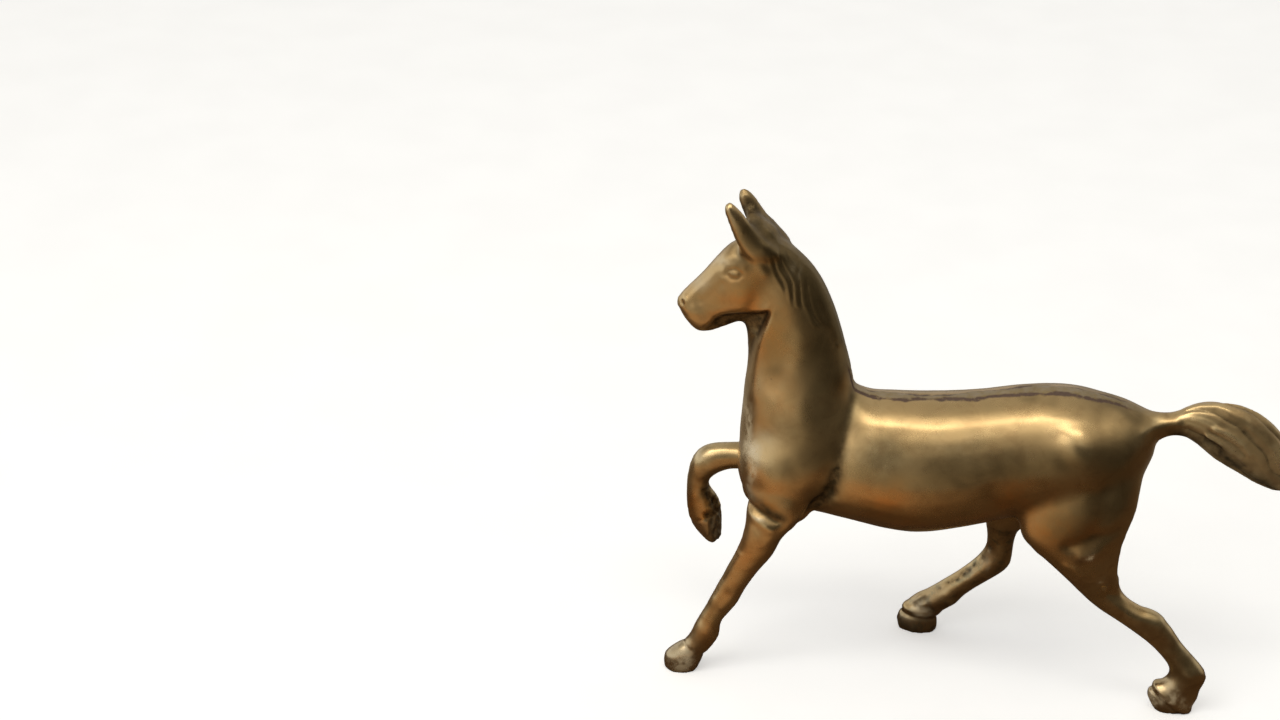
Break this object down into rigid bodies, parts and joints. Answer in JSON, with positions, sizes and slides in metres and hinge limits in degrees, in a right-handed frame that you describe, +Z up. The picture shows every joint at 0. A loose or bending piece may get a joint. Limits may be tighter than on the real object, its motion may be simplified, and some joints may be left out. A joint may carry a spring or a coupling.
{
  "type": "horse figurine",
  "caption": "Free-standing cast brass figure of a striding horse, one foreleg raised, head high and tail out behind, for display on a shelf.",
  "frame": {"origin": "on the ground plane, in the middle of the statue's footprint as seen from above", "axes": "the horse faces -X, its left side is toward -Y, +Z is up"},
  "size_m": [0.2824, 0.0665, 0.2326],
  "materials": {
    "body_brass": "polished, with aged brown patina",
    "leg_brass": "worn, with brown and green patina",
    "tail_brass": "worn, with brown patina",
    "pin_brass": "drawn rod"
  },
  "bodies": {
    "root": {"left_body_half": "body_brass", "right_body_half": "body_brass", "left_foreleg": "leg_brass", "right_foreleg": "leg_brass", "left_hindleg": "leg_brass", "right_hindleg": "leg_brass", "tail": "tail_brass", "left_foreleg_pin": "pin_brass", "right_foreleg_pin": "pin_brass", "left_hindleg_pin": "pin_brass", "right_hindleg_pin": "pin_brass", "tail_pin": "pin_brass", "seam_dowel_poll": "pin_brass", "seam_dowel_cheek": "pin_brass", "seam_dowel_withers": "pin_brass", "seam_dowel_chest": "pin_brass", "seam_dowel_croup": "pin_brass", "seam_dowel_crotch": "pin_brass", "vent_plug": "pin_brass"}
  },
  "joints": []
}
